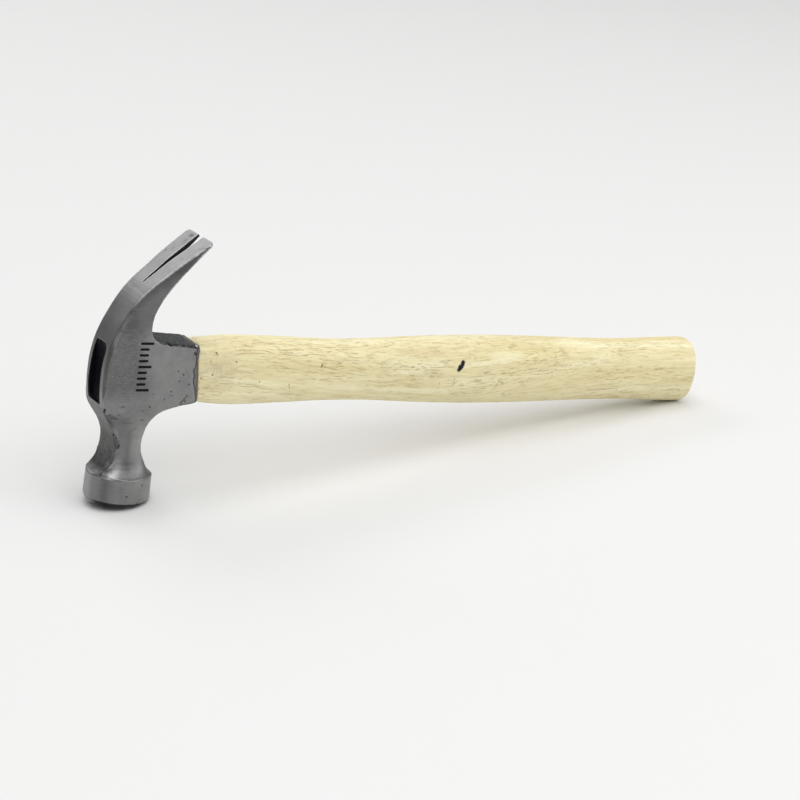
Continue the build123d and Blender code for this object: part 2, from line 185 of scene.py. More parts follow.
# ------------------------------------------------------------- shader helpers
class Net:
    def __init__(self, name):
        self.mat = bpy.data.materials.new(name)
        self.mat.use_nodes = True
        self.t = self.mat.node_tree
        self.bsdf = self.t.nodes["Principled BSDF"]

    def new(self, kind, **props):
        n = self.t.nodes.new(kind)
        for k, val in props.items():
            setattr(n, k, val)
        return n

    def link(self, a, b):
        self.t.links.new(a, b)

    def feed(self, socket, value):
        if hasattr(value, "is_output") or isinstance(value, bpy.types.NodeSocket):
            self.link(value, socket)
        else:
            socket.default_value = value

    def attr(self, name, vector=False):
        n = self.new("ShaderNodeAttribute", attribute_name=name, attribute_type="GEOMETRY")
        return n.outputs["Vector"] if vector else n.outputs["Fac"]

    def scaled(self, vec, scale, offset=(0, 0, 0)):
        n = self.new("ShaderNodeMapping")
        self.link(vec, n.inputs["Vector"])
        n.inputs["Scale"].default_value = scale
        n.inputs["Location"].default_value = offset
        return n.outputs["Vector"]

    def noise(self, vec, scale=1.0, detail=2.0, rough=0.5, distortion=0.0):
        n = self.new("ShaderNodeTexNoise")
        self.link(vec, n.inputs["Vector"])
        n.inputs["Scale"].default_value = scale
        n.inputs["Detail"].default_value = detail
        n.inputs["Roughness"].default_value = rough
        n.inputs["Distortion"].default_value = distortion
        return n.outputs["Fac"]

    def voronoi(self, vec, scale=1.0, feature="F1", randomness=1.0):
        n = self.new("ShaderNodeTexVoronoi", feature=feature)
        self.link(vec, n.inputs["Vector"])
        n.inputs["Scale"].default_value = scale
        n.inputs["Randomness"].default_value = randomness
        return n

    def ramp(self, fac, stops):
        n = self.new("ShaderNodeValToRGB")
        self.feed(n.inputs["Fac"], fac)
        el = n.color_ramp.elements
        while len(el) < len(stops):
            el.new(0.5)
        for e, (pos, col) in zip(el, stops):
            e.position = pos
            e.color = (*col, 1) if isinstance(col, tuple) else (col, col, col, 1)
        return n.outputs["Color"]

    def mapr(self, fac, a, b, c=0.0, d=1.0, smooth=True):
        n = self.new("ShaderNodeMapRange", interpolation_type="SMOOTHSTEP" if smooth else "LINEAR")
        self.feed(n.inputs["Value"], fac)
        n.inputs["From Min"].default_value = a
        n.inputs["From Max"].default_value = b
        n.inputs["To Min"].default_value = c
        n.inputs["To Max"].default_value = d
        return n.outputs["Result"]

    def math(self, op, a, b=0.0, clamp=False):
        n = self.new("ShaderNodeMath", operation=op, use_clamp=clamp)
        self.feed(n.inputs[0], a)
        self.feed(n.inputs[1], b)
        return n.outputs[0]

    def mix(self, fac, a, b, blend="MIX"):
        n = self.new("ShaderNodeMix", data_type="RGBA", blend_type=blend)
        self.feed(n.inputs[0], fac)
        for s, val in ((n.inputs[6], a), (n.inputs[7], b)):
            if isinstance(val, tuple):
                s.default_value = (*val, 1) if len(val) == 3 else val
            else:
                self.link(val, s)
        return n.outputs[2]

    def mixf(self, fac, a, b):
        n = self.new("ShaderNodeMix", data_type="FLOAT")
        self.feed(n.inputs[0], fac)
        self.feed(n.inputs[2], a)
        self.feed(n.inputs[3], b)
        return n.outputs[0]

    def bump(self, height, strength, distance, normal=None):
        n = self.new("ShaderNodeBump")
        self.feed(n.inputs["Height"], height)
        n.inputs["Strength"].default_value = strength
        n.inputs["Distance"].default_value = distance
        if normal is not None:
            self.link(normal, n.inputs["Normal"])
        return n.outputs["Normal"]


# pinholes in the handle: (x, y, z, reach), tool millimetres
PINHOLES = [
    (26.65, -8.91, -1.12, 0.36), (31.33, -9.22, 0.41, 0.40), (40.88, -9.76, 5.96, 0.34), (32.02, -8.86, 9.41, 0.40),
    (32.6, -9.0, 8.8, 0.28), (52.07, -10.26, -2.28, 0.30), (65.67, -10.14, -3.67, 0.28), (66.0, -10.1, -4.6, 0.24),
    (79.76, -9.76, 4.67, 0.42), (79.6, -9.9, 3.8, 0.28), (29.99, -9.08, 5.96, 0.30), (26.35, -8.86, -5.28, 0.30),
    (47.5, 7.2, 9.9, 0.3), (96.0, 9.8, 3.0, 0.32), (158.0, 11.2, -4.0, 0.34), (211.0, 10.4, 5.0, 0.3), (118.0, 3.0, -13.2, 0.34),
]

# ------------------------------------------------------------------ materials
def steel_material():
    n = Net("ground_steel")
    p = n.attr("tool", True)
    forged, pit, dark, strip, edge_highlight, bevel, scoop, coarse, rim, rim_shade_and_facet_line, smudge, painted_light = (
        n.attr(k) for k in ("forged", "pit", "mouth", "strip", "edge_highlight", "bevel", "scoop", "coarse", "rim", "rim_shade_and_facet_line", "smudge", "painted_light")
    )
    # grinding marks: across the cheeks, neck and poll; lengthwise on the top strip
    across = n.noise(n.scaled(p, (0.10, 0.10, 3.2)), 1.6, 3, 0.65, 0.15)
    across_fine = n.noise(n.scaled(p, (0.25, 0.25, 9.0), (3, 7, 1)), 1.3, 2, 0.6)
    along = n.noise(n.scaled(p, (0.12, 3.4, 0.12), (5, 1, 9)), 1.6, 3, 0.65, 0.1)
    along_fine = n.noise(n.scaled(p, (0.3, 9.0, 0.3), (2, 5, 4)), 1.3, 2, 0.6)
    grind = n.mixf(strip, across, along)
    fine = n.mixf(strip, across_fine, along_fine)
    # the deeper scratches, long enough to be seen one by one
    dash_x = n.noise(n.scaled(p, (0.30, 0.30, 1.30), (6, 2, 8)), 1.3, 2.5, 0.65, 0.1)
    dash_z = n.noise(n.scaled(p, (0.22, 1.35, 0.16), (6, 2, 8)), 1.25, 2.5, 0.65, 0.1)
    dash = n.mixf(strip, dash_x, dash_z)
    cloud = n.noise(p, 0.16, 4, 0.6)
    blotch = n.noise(n.scaled(p, (1, 1, 1), (13, 4, 8)), 0.55, 3, 0.6)
    grit = n.noise(n.scaled(p, (1, 1, 1), (4, 2, 7)), 3.4, 3, 0.75)
    # ground steel
    tone = n.math("ADD", n.math("MULTIPLY", grind, 0.4), n.math("MULTIPLY", cloud, 0.6))
    ground = n.ramp(tone, [(0.32, (0.196, 0.196, 0.197)), (0.5, (0.251, 0.251, 0.251)), (0.68, (0.311, 0.311, 0.309))])
    ground = n.mix(n.mapr(blotch, 0.54, 0.78, 0, 0.35), ground, (0.155, 0.151, 0.146))
    ground = n.mix(n.mapr(fine, 0.58, 0.82, 0, 0.35), ground, (0.40, 0.40, 0.405))
    ground = n.mix(n.mapr(grit, 0.62, 0.8, 0, 0.22), ground, (0.42, 0.42, 0.42))
    # the cheek beside the strip is darker and grittier; the scoop over the face is darker
    gritty = n.noise(n.scaled(p, (1.0, 1.0, 2.2), (4, 2, 7)), 2.6, 3, 0.7)
    ground = n.mix(n.math("MULTIPLY", coarse, n.mapr(gritty, 0.30, 0.66, 0.70, 0.05)), ground, (0.095, 0.095, 0.097))
    scoopy = n.math("MULTIPLY", scoop, n.mapr(n.noise(p, 0.35, 3, 0.6), 0.3, 0.7, 0.75, 0.45))
    ground = n.mix(scoopy, ground, (0.062, 0.060, 0.057))
    ground = n.mix(n.math("MULTIPLY", smudge, 0.6), ground, (0.055, 0.055, 0.056))
    seen = n.math("ADD", 0.20, n.math("MULTIPLY", n.math("MAXIMUM", coarse, scoop), 0.55))
    ground = n.mix(n.math("MULTIPLY", seen, n.mapr(dash, 0.54, 0.70, 0, 0.42)), ground, (0.40, 0.40, 0.405))
    ground = n.mix(n.math("MULTIPLY", seen, n.mapr(dash, 0.46, 0.32, 0, 0.45)), ground, (0.085, 0.085, 0.087))
    # painted shade and painted highlights, multiplied into the ground steel's colour
    ground = n.mix(1.0, ground, painted_light, "MULTIPLY")
    # scale left by the forging
    rough_n = n.noise(p, 1.5, 5, 0.75)
    scale_col = n.ramp(rough_n, [(0.41, (0.003, 0.003, 0.004)), (0.48, (0.030, 0.032, 0.032)), (0.55, (0.078, 0.082, 0.082)), (0.63, (0.25, 0.255, 0.255))])
    col = n.mix(forged, ground, scale_col)
    rim_col = n.ramp(rough_n, [(0.38, (0.12, 0.113, 0.098)), (0.62, (0.235, 0.226, 0.205))])
    col = n.mix(n.math("MULTIPLY", rim, 0.85), col, rim_col)
    # painted shade in the rim's step, and the dark ragged line along the forged top facet
    col = n.mix(n.math("MULTIPLY", rim_shade_and_facet_line, 0.85), col, (0.020, 0.020, 0.021))
    # painted shade along the bevel between strip and cheek
    col = n.mix(n.math("MULTIPLY", bevel, 0.45), col, (0.060, 0.060, 0.048))
    # painted highlight along the convex edges
    col = n.mix(n.math("MULTIPLY", edge_highlight, 0.85), col, (0.70, 0.70, 0.70))
    col = n.mix(pit, col, (0.005, 0.005, 0.006))
    # black resin in the eye's mouth, and painted shade on the walls of the claw slot
    col = n.mix(dark, col, (0.003, 0.003, 0.004))
    n.link(col, n.bsdf.inputs["Base Color"])
    dull = n.math("MAXIMUM", n.math("MULTIPLY", forged, 0.6), n.math("MAXIMUM", pit, dark))
    dull = n.math("MAXIMUM", dull, n.math("MULTIPLY", rim, 0.35))
    n.link(n.math("SUBTRACT", 1.0, dull, True), n.bsdf.inputs["Metallic"])
    r = n.mapr(grind, 0.3, 0.7, 0.34, 0.48)
    r = n.math("ADD", r, n.mapr(cloud, 0.35, 0.7, -0.04, 0.07))
    r = n.mixf(forged, r, n.mapr(rough_n, 0.3, 0.7, 0.5, 0.72))
    r = n.mixf(rim, r, 0.6)
    r = n.mixf(pit, r, 0.75)
    r = n.mixf(dark, r, 0.6)
    n.link(r, n.bsdf.inputs["Roughness"])
    spec = n.math("SUBTRACT", 0.5, n.math("MULTIPLY", n.math("MAXIMUM", dark, pit), 0.42))
    n.link(spec, n.bsdf.inputs["Specular IOR Level"])
    n.bsdf.inputs["Anisotropic"].default_value = 0.2
    b = n.bump(grind, 0.35, 0.00006)
    b = n.bump(n.math("MULTIPLY", dash, seen), 0.5, 0.00012, b)
    b = n.bump(fine, 0.25, 0.00003, b)
    b = n.bump(n.math("MULTIPLY", grit, n.math("ADD", coarse, 0.25)), 0.5, 0.00008, b)
    h = n.math("MULTIPLY", rough_n, n.math("MAXIMUM", forged, n.math("MULTIPLY", rim, 0.6)))
    b = n.bump(h, 1.0, 0.00045, b)
    n.link(b, n.bsdf.inputs["Normal"])
    return n.mat


def wood_material(name, dark=False):
    n = Net(name)
    if dark:
        tc = n.new("ShaderNodeTexCoord")
        p = g = n.scaled(tc.outputs["Object"], (1000, 1000, 1000))
    else:
        p, g = n.attr("tool", True), n.attr("grain", True)
    # slow figure: long soft bands that follow the grain
    fig = n.noise(n.scaled(g, (0.012, 0.30, 0.22), (2, 1, 3)), 1.0, 3, 0.55, 0.6)
    band = n.noise(n.scaled(g, (0.010, 0.16, 0.12), (9, 4, 1)), 1.0, 2, 0.5, 0.4)
    patch = n.noise(n.scaled(g, (0.07, 0.22, 0.22), (3, 3, 8)), 1.0, 3, 0.6, 0.8)
    fibre = n.noise(n.scaled(g, (0.10, 4.0, 4.0), (1, 6, 2)), 1.0, 3, 0.6)
    # short dashes: vessels and rays cut by the surface
    dash_a = n.noise(n.scaled(g, (0.15, 1.55, 1.55), (7, 3, 5)), 1.0, 1.6, 0.55, 0.45)
    dash_b = n.noise(n.scaled(g, (0.24, 2.5, 2.5), (1, 9, 2)), 1.0, 1.2, 0.5, 0.4)
    dash_c = n.noise(n.scaled(g, (0.11, 1.25, 1.25), (5, 2, 9)), 1.0, 1.6, 0.55, 0.5)
    where = n.noise(n.scaled(g, (0.03, 0.11, 0.11), (4, 8, 6)), 1.0, 2, 0.5)
    if dark:
        c0, c1, c2 = (0.36, 0.21, 0.10), (0.44, 0.27, 0.13), (0.52, 0.34, 0.17)
    else:
        c0, c1, c2 = (0.745, 0.635, 0.365), (0.82, 0.735, 0.445), (0.89, 0.835, 0.56)
    col = n.ramp(fig, [(0.32, c0), (0.5, c1), (0.68, c2)])
    col = n.mix(n.mapr(band, 0.5, 0.72, 0, 0.40), col, (0.74, 0.625, 0.29) if not dark else (0.34, 0.19, 0.08))
    col = n.mix(n.mapr(patch, 0.52, 0.72, 0, 0.35), col, (0.66, 0.575, 0.345) if not dark else (0.34, 0.19, 0.08))
    col = n.mix(n.mapr(fibre, 0.52, 0.8, 0, 0.30), col, (0.66, 0.55, 0.29) if not dark else (0.28, 0.16, 0.07))
    m_a = n.math("MULTIPLY", n.mapr(dash_a, 0.585, 0.655), n.mapr(where, 0.36, 0.6, 0.35, 1.0))
    m_b = n.math("MULTIPLY", n.mapr(dash_b, 0.63, 0.70), n.mapr(where, 0.42, 0.62, 0.25, 0.95))
    m_c = n.mapr(dash_c, 0.65, 0.70)
    light = n.mapr(dash_a, 0.42, 0.33)
    col = n.mix(n.math("MULTIPLY", light, 0.35), col, (0.88, 0.84, 0.60) if not dark else (0.5, 0.33, 0.17))
    col = n.mix(n.math("MULTIPLY", m_a, 0.55), col, (0.54, 0.425, 0.195) if not dark else (0.2, 0.11, 0.05))
    col = n.mix(n.math("MULTIPLY", m_b, 0.60), col, (0.47, 0.36, 0.165) if not dark else (0.18, 0.10, 0.04))
    col = n.mix(n.math("MULTIPLY", m_c, 0.45), col, (0.60, 0.40, 0.16) if not dark else (0.18, 0.10, 0.04))
    height = n.math("SUBTRACT", n.math("MULTIPLY", fibre, 0.35), n.math("ADD", m_a, m_b))
    if not dark:
        greyed, speck, spot, end = (n.attr(k) for k in ("greyed", "speck", "spot", "endgrain"))
        # greyer wood next to the head and in patches along the handle
        dn = n.noise(p, 0.35, 4, 0.65)
        grey = n.math("MULTIPLY", greyed, n.mapr(dn, 0.35, 0.65, 0.3, 1.0))
        col = n.mix(n.math("MULTIPLY", grey, 0.68), col, (0.50, 0.435, 0.27))
        # torn, darker little marks where the grain lifts
        torn = n.noise(n.scaled(g, (0.75, 1.7, 1.7), (2, 2, 6)), 1.0, 2.5, 0.6, 0.5)
        torn_m = n.math("MULTIPLY", n.mapr(torn, 0.585, 0.67), speck)
        col = n.mix(n.math("MULTIPLY", torn_m, 0.75), col, (0.33, 0.265, 0.115))
        # a few pinholes
        holes = None
        for cx, cy, cz, reach in PINHOLES:
            d = n.new("ShaderNodeVectorMath", operation="DISTANCE")
            n.link(p, d.inputs[0])
            d.inputs[1].default_value = (cx, cy, cz)
            f = n.mapr(d.outputs["Value"], reach * 1.25, reach * 0.5)
            holes = f if holes is None else n.math("MAXIMUM", holes, f)
        col = n.mix(n.math("MULTIPLY", holes, 0.85), col, (0.10, 0.075, 0.035))
        # end grain on the butt
        wob = n.noise(n.scaled(p, (0.02, 0.10, 0.10)), 1.0, 2, 0.5)
        ring_d = n.new("ShaderNodeVectorMath", operation="LENGTH")
        n.link(n.scaled(p, (0, 1, 1), (0, 34, 22)), ring_d.inputs[0])
        wavy = n.math("ADD", ring_d.outputs["Value"], n.math("MULTIPLY", wob, 5.5))
        rings = n.math("SINE", n.math("MULTIPLY", wavy, 1.7))
        endc = n.mix(n.mapr(rings, -0.2, 1.0, 0, 0.38), (0.66, 0.54, 0.32), (0.50, 0.38, 0.19))
        pores = n.voronoi(n.scaled(p, (0.3, 3.2, 3.2)), 1.0)
        endc = n.mix(n.mapr(pores.outputs["Distance"], 0.28, 0.12, 0, 0.7), endc, (0.26, 0.17, 0.08))
        col = n.mix(end, col, endc)
        col = n.mix(spot, col, (0.006, 0.004, 0.004))
        height = n.math("SUBTRACT", height, n.math("ADD", n.math("MULTIPLY", torn_m, 1.2), holes))
    n.link(col, n.bsdf.inputs["Base Color"])
    r = n.mapr(fibre, 0.3, 0.7, 0.52, 0.68)
    n.link(r, n.bsdf.inputs["Roughness"])
    n.bsdf.inputs["Specular IOR Level"].default_value = 0.3
    b = n.bump(height, 0.7, 0.00026)
    n.link(b, n.bsdf.inputs["Normal"])
    return n.mat


def resin_material():
    n = Net("black_resin")
    tc = n.new("ShaderNodeTexCoord")
    p = n.scaled(tc.outputs["Object"], (1000, 1000, 1000))
    a = n.noise(p, 0.35, 3, 0.5)
    d = n.noise(p, 2.5, 2, 0.5)
    col = n.ramp(a, [(0.3, (0.002, 0.002, 0.004)), (0.7, (0.006, 0.006, 0.010))])
    n.link(col, n.bsdf.inputs["Base Color"])
    n.link(n.mapr(a, 0.3, 0.7, 0.40, 0.60), n.bsdf.inputs["Roughness"])
    n.bsdf.inputs["Specular IOR Level"].default_value = 0.03
    b = n.bump(a, 0.3, 0.0004)
    b = n.bump(d, 0.15, 0.00006, b)
    n.link(b, n.bsdf.inputs["Normal"])
    return n.mat


def mild_steel_material():
    n = Net("wedge_steel")
    tc = n.new("ShaderNodeTexCoord")
    p = n.scaled(tc.outputs["Object"], (1000, 1000, 1000))
    a = n.noise(p, 0.8, 4, 0.6)
    col = n.ramp(a, [(0.3, (0.20, 0.19, 0.18)), (0.6, (0.36, 0.35, 0.34)), (0.8, (0.30, 0.19, 0.12))])
    n.link(col, n.bsdf.inputs["Base Color"])
    n.bsdf.inputs["Metallic"].default_value = 0.9
    n.link(n.mapr(a, 0.3, 0.7, 0.35, 0.6), n.bsdf.inputs["Roughness"])
    n.link(n.bump(a, 0.4, 0.0001), n.bsdf.inputs["Normal"])
    return n.mat


def ink_material():
    n = Net("printed_ink")
    p = n.attr("tool", True)
    a = n.noise(p, 2.2, 4, 0.65)
    g = n.noise(n.scaled(p, (0.4, 0.4, 6.0)), 1.4, 2, 0.6)
    wear = n.math("MULTIPLY", n.mapr(a, 0.66, 0.78), 0.7)
    col = n.mix(wear, (0.006, 0.006, 0.008), (0.12, 0.12, 0.125))
    n.link(col, n.bsdf.inputs["Base Color"])
    n.link(n.mapr(g, 0.3, 0.7, 0.5, 0.7), n.bsdf.inputs["Roughness"])
    n.bsdf.inputs["Specular IOR Level"].default_value = 0.08
    n.link(n.bump(g, 0.3, 0.00002), n.bsdf.inputs["Normal"])
    return n.mat


STEEL = steel_material()
WOOD = wood_material("pale_hardwood")
WEDGE_WOOD = wood_material("wedge_hardwood", dark=True)
RESIN = resin_material()
MILD = mild_steel_material()
INK = ink_material()

# ----------------------------------------------------------------------- head
VOX = 0.225
me, v, e, deg = dense_copy("head", VOX, 4)
n0 = normals_of(me, v)
x, y, z = v.T
nx, ny, nz = n0.T
HALF_CHEEK = 9.15
rim_x = 26.1 + (23.7 - 26.1) * (z + 11.9) / (11.45 + 11.9)


def table(pts, at):
    """Straight-line look-up in (z, value) pairs."""
    pts = sorted(pts)
    return np.interp(at, [p[0] for p in pts], [p[1] for p in pts])


# outlines of the neck: front and rear edges (z, x), cheek (z, y), flare (z, radius)
FRONT = [(-13.7, -13.6), (-16.6, -12.2), (-18.9, -10.6), (-21.2, -8.9), (-23.8, -7.5), (-26.4, -6.6), (-29.0, -6.2),
         (-31.5, -6.15), (-34.2, -6.45), (-36.7, -7.2), (-39.0, -8.6), (-40.9, -10.7), (-42.2, -13.3)]
REAR = [(-12.6, 20.6), (-13.25, 16.4), (-14.5, 12.3), (-16.2, 9.3), (-18.6, 7.2), (-21.6, 5.8), (-25.0, 5.0),
        (-28.4, 4.8), (-31.6, 5.15), (-34.6, 6.1), (-37.5, 7.7), (-40.1, 10.0), (-42.2, 13.3)]
CHEEK = [(-17.5, HALF_CHEEK), (-24.0, 8.8), (-28.5, 8.45), (-32.0, 8.4), (-35.4, 8.75), (-38.4, 9.7), (-40.6, 11.2), (-42.2, 13.3)]
FULLER = [(-17.5, HALF_CHEEK), (-24.0, 8.8), (-28.0, 8.46), (-30.0, 8.4), (-32.0, 8.52), (-34.0, 8.86), (-36.0, 9.42), (-38.0, 10.22), (-40.0, 11.3), (-41.3, 12.25), (-42.2, 13.3)]
FLARE = [(-29.5, 13.6), (-32.6, 10.9), (-35.2, 10.8), (-37.0, 11.0), (-38.7, 11.5), (-40.2, 12.25), (-41.5, 13.25), (-42.2, 13.3)]
ax = np.abs(y)
xf, xr, yc, rf = table(FRONT, z), table(REAR, z), table(CHEEK, z), table(FLARE, z)
neck = (z < -12.8) & (z > -42.4)

# the cheek swells evenly towards the poll
fuller = table(FULLER, z)
v[:, 1] += np.sign(y) * np.clip(fuller - yc, 0, 1) * (neck & (ax > yc - 0.3) & (np.abs(ny) > 0.25))
yc = np.maximum(yc, fuller)
ax = np.abs(v[:, 1])

# the cheek runs softly into the poll instead of meeting it in a corner
rf = rf - 0.95 * step(-30.5, -34.0, z) * step(-42.0, -39.0, z) * (y < 0) * step(4.0, -4.0, x)
yr = np.sqrt(np.clip(rf ** 2 - x ** 2, 1, None))
k = 2.6
h = np.clip(0.5 + 0.5 * (yr - yc) / k, 0, 1)
soft = yr * (1 - h) + yc * h - k * h * (1 - h)
fade = step(-29.0, -33.0, z) * step(-42.3, -41.0, z) * step(0.25, 0.8, x - xf)
on_skin = neck & (ax > np.minimum(yr, yc) - 0.25) & (np.abs(ny) > 0.25)
cut = np.clip(ax - soft, 0, 2.0) * fade * on_skin
v[:, 1] -= np.sign(y) * cut
ax = np.abs(v[:, 1])


def round_corner(u, w, r):
    """How far (u, w), measured inwards from two faces, moves to round their corner to radius r."""
    du, dw = np.clip(r - u, 0, None), np.clip(r - w, 0, None)
    d = np.hypot(du, dw)
    push = np.clip(d - r, 0, None)
    ok = (du > 0) & (dw > 0) & (d > 1e-6)
    return np.where(ok, push * du / np.maximum(d, 1e-6), 0), np.where(ok, push * dw / np.maximum(d, 1e-6), 0)


near = np.where(v[:, 1] < 0, 1.0, 0.35)
r_front = near * (0.3 + 2.5 * step(-14.0, -18.5, z) * step(-32.0, -26.5, z))
du, dw = round_corner(np.clip(x - xf, 0, None), np.clip(yc - ax, 0, None), r_front)
use = neck & (z > -33)
v[:, 0] += du * use
v[:, 1] -= np.sign(v[:, 1]) * dw * use
r_rear = 0.2 + 1.0 * step(-15.0, -21.0, z) * step(-37.0, -33.0, z)
du, dw = round_corner(np.clip(xr - x, 0, None), np.clip(yc - ax, 0, None), r_rear)
v[:, 0] -= du * use
v[:, 1] -= np.sign(v[:, 1]) * dw * use
for i in range(2):
    v = v + 0.4 * neck[:, None] * (neighbour_mean(v, e, deg) - v)
n0 = normals_of(me, v)
x, y, z = v.T
nx, ny, nz = n0.T

# where the surface was left as forged
top_facet = step(0.25, 0.55, nz) * step(6.0, 8.0, x) * step(7.6, 9.3, z + 0.5 * noise(v, (1.2, 1.2, 1.2), 4, 2)) * step(16.0, 14.0, z)
ragged_line = step(0.25, 0.45, nz) * step(0.2, 0.4, np.abs(ny)) * (x > 6.5) * (x < 24) * (z > 8) * (z < 15) * step(-0.15, 0.25, noise(v, (1.3, 1.3, 1.3), 91, 2))
under = step(-0.35, -0.75, nz) * step(7.5, 12.0, x) * step(-9.0, -10.8, z) * step(-19, -16, z)
inner = step(0.20, 0.65, nx) * step(11.0, 20.0, z) * step(60, 50, z) * step(-3.0, -1.0, x)
inside_eye = (np.abs(y) < 5.45) & (np.abs(z + 0.35) < 12.5) & (ny * np.sign(y) + nz * np.sign(z + 0.35) < -0.5)
# painted shade: the walls of the slot between the claws are drawn near-black
slot_wall_shade = ((np.abs(y) < 4.6) & (z > 26) & (np.abs(ny) > 0.5)).astype(float)
# the rim was dressed by hand: its round-over has a wandering border
border = table([(14, 1.6), (9.9, 1.4), (6.5, 1.15), (4.1, 1.25), (2.5, 2.25), (0.0, 1.8), (-1.6, 2.1), (-3.3, 1.9), (-5.8, 1.4), (-9.1, 0.85), (-13, 0.7)], z)
wavy = noise(np.c_[x * 0, y * 0.3, z], (1, 3.0, 2.6), 5, 3)
band_w = np.where((y < 0) & (np.abs(ny) > 0.5), border, 1.75 + 0.95 * wavy) + 0.16 * noise(v, 0.9, 8, 2)
rim_t = np.clip((x - (rim_x - band_w)) / band_w, 0, 1)
side = np.clip(1 - step(0.55, 0.8, np.abs(nx)), 0, 1)
skirt = (x > 17) & (z < 14.5)
rim_band = step(0.0, 0.16, rim_t) * skirt
# painted shade in the small step where the ground cheek meets the rim's round-over
rim_step_shade = step(0.42, 0.10, np.abs(x - (rim_x - band_w) - 0.10)) * skirt * side * step(0.8, 0.4, np.abs(nz))
forged = np.maximum.reduce([
    top_facet, under * 0.85, inner * 0.6, (np.abs(x - rim_x) < 0.5) * (z < 14) * 0.9,
])
edge_break = step(0.35, 0.75, noise(v, (2.2, 2.2, 2.2), 31, 3)) * step(11.0, 14.5, x) * step(5.5, 9.0, np.abs(z + 0.2))
forged = np.clip(np.maximum(forged, edge_break * 0.5 * (1 - rim_band)), 0, 1)

# the bevel between strip and cheek, whose darker colour is painted shade, and the scoop above the face
bevel = step(8.15, 8.4, np.abs(y)) * step(9.12, 8.98, np.abs(y)) * (nx < -0.2)
bevel = bevel * step(-14.5, -12.5, z) * (step(14.5, 10.5, z) + 0.12 * step(10.5, 14.5, z) * (z < 33))
strip = step(-0.35, -0.7, nx) * (z > -13) + step(0.45, 0.7, nz) * step(30, 34, z)
strip = np.clip(strip, 0, 1)
reach = 0.35 + 4.2 * step(-31.5, -27.0, z)
on_front = step(reach + 0.4, 0.35 * reach, x - table(FRONT, z))
scoop = step(-0.25, -0.72, nx) * on_front * (0.30 * step(-13, -18, z) + 0.70 * step(-21, -29, z)) * step(-42.5, -41.7, z)
coarse = step(0.55, 0.8, np.abs(ny)) * step(5.0, -2.5, x + 0.25 * (z - 8) + 1.6 * noise(v, (3, 3, 3), 71, 3)) * (0.25 + 0.75 * step(-13, -3, z)) * step(-22, -12, z)

# painted shade and painted highlights multiplied into the ground faces' colour: claw sides, neck, scoop, the flare
# into the poll, the poll itself
flat_side = step(0.55, 0.85, np.abs(ny))
painted_light = 1 - 0.46 * flat_side * step(13.0, 22.0, z) * (1 - 0.25 * step(44, 34, z))
painted_light = painted_light * (1 - 0.18 * coarse * step(24, 14, z))
painted_light = painted_light * (1 - 0.26 * flat_side * step(-15.5, -19.0, z) * step(-36.0, -33.5, z) * step(2.5, -4.5, x))
painted_light = painted_light * (1 - 0.28 * np.clip(scoop * 1.4, 0, 1))
# painted highlight on the bevel beside the strip, and a thin painted shade line along the strip's edge
bevel_up = step(8.1, 8.35, np.abs(y)) * step(9.2, 9.05, np.abs(y)) * (nx < -0.15) * step(-13.0, -11.0, z) * step(36, 30, z)
painted_light = painted_light * (1 + (0.25 + 0.75 * step(8.0, 14.0, z)) * bevel_up)
painted_light = painted_light * (1 - 0.42 * np.exp(-((np.abs(y) - 8.22) / 0.17) ** 2) * (nx < -0.15) * step(9.0, 12.0, z) * step(46, 36, z))
painted_light = painted_light * (1 - 0.26 * strip * step(23.0, 15.0, z) * step(-9.0, -5.0, z) * (nx < -0.4) * (1 - bevel_up))
painted_light = painted_light * (1 + 0.11 * flat_side * step(-19.0, -22.0, z) * step(-37.0, -33.0, z))
painted_light = painted_light * (1 + 0.26 * scoop * step(-33.0, -38.0, z))
# painted shade and a painted highlight in soft columns down the near and far side of the neck
down = flat_side * step(-19.0, -27.0, z) * step(-42.2, -41.0, z)
painted_light = painted_light * (1 - 0.26 * down * np.exp(-((x + 1.0) / 1.5) ** 2)) * (1 + 0.16 * down * np.exp(-((x - 3.7) / 1.2) ** 2))
painted_light = painted_light * (1 - 0.22 * down * step(5.0, 6.2, x))
# painted highlight low on the near side of the flare
painted_light = painted_light * (1 + 0.75 * step(0.3, 0.6, np.abs(ny)) * np.exp(-((x + 4.4) / 1.5) ** 2 - ((z + 37.0) / 2.2) ** 2))
front = step(-0.35, -0.75, nx)
painted_light = painted_light * (1 - 0.30 * front * step(-12.5, -16.0, z) * step(-31.0, -26.0, z))
painted_light = painted_light * (1 - 0.10 * strip * step(34.0, 40.0, z) * (y > 0))
corner_face = step(0.25, 0.45, np.abs(ny)) * step(0.93, 0.80, np.abs(ny)) * (nx < -0.25)
# painted highlight on the rounded near-front corner of the neck
painted_light = painted_light * (1 + 0.95 * corner_face * step(-19.5, -23.5, z) * step(-34.0, -30.0, z))
painted_light = painted_light * (1 - 0.32 * front * step(-12.3, -14.5, z) * step(-25.0, -20.0, z))
painted_light = painted_light * (1 - 0.12 * flat_side * step(-14.0, -16.5, z) * step(-27.0, -22.0, z) * step(2.0, -3.5, x))
# painted shade on the low front of the scoop
painted_light = painted_light * (1 - 0.50 * step(-0.25, -0.5, nx) * step(-37.5, -39.5, z) * step(-43.0, -42.3, z) * step(0.2, 0.4, nz) * step(-5.0, -7.5, x))
painted_light = painted_light * (1 - 0.18 * front * step(-25.0, -28.0, z) * step(-34.0, -31.0, z))
flare = step(-37.0, -40.3, z) * step(-42.4, -41.8, z) * step(0.35, 0.6, np.abs(ny) + 0.4 * nz)
painted_light = painted_light * (1 - 0.30 * flare * step(-4.6, -2.2, x))
painted_light = painted_light * (1 + 0.18 * flare * step(-4.0, -5.4, x) * step(0.1, 0.4, np.abs(ny)))
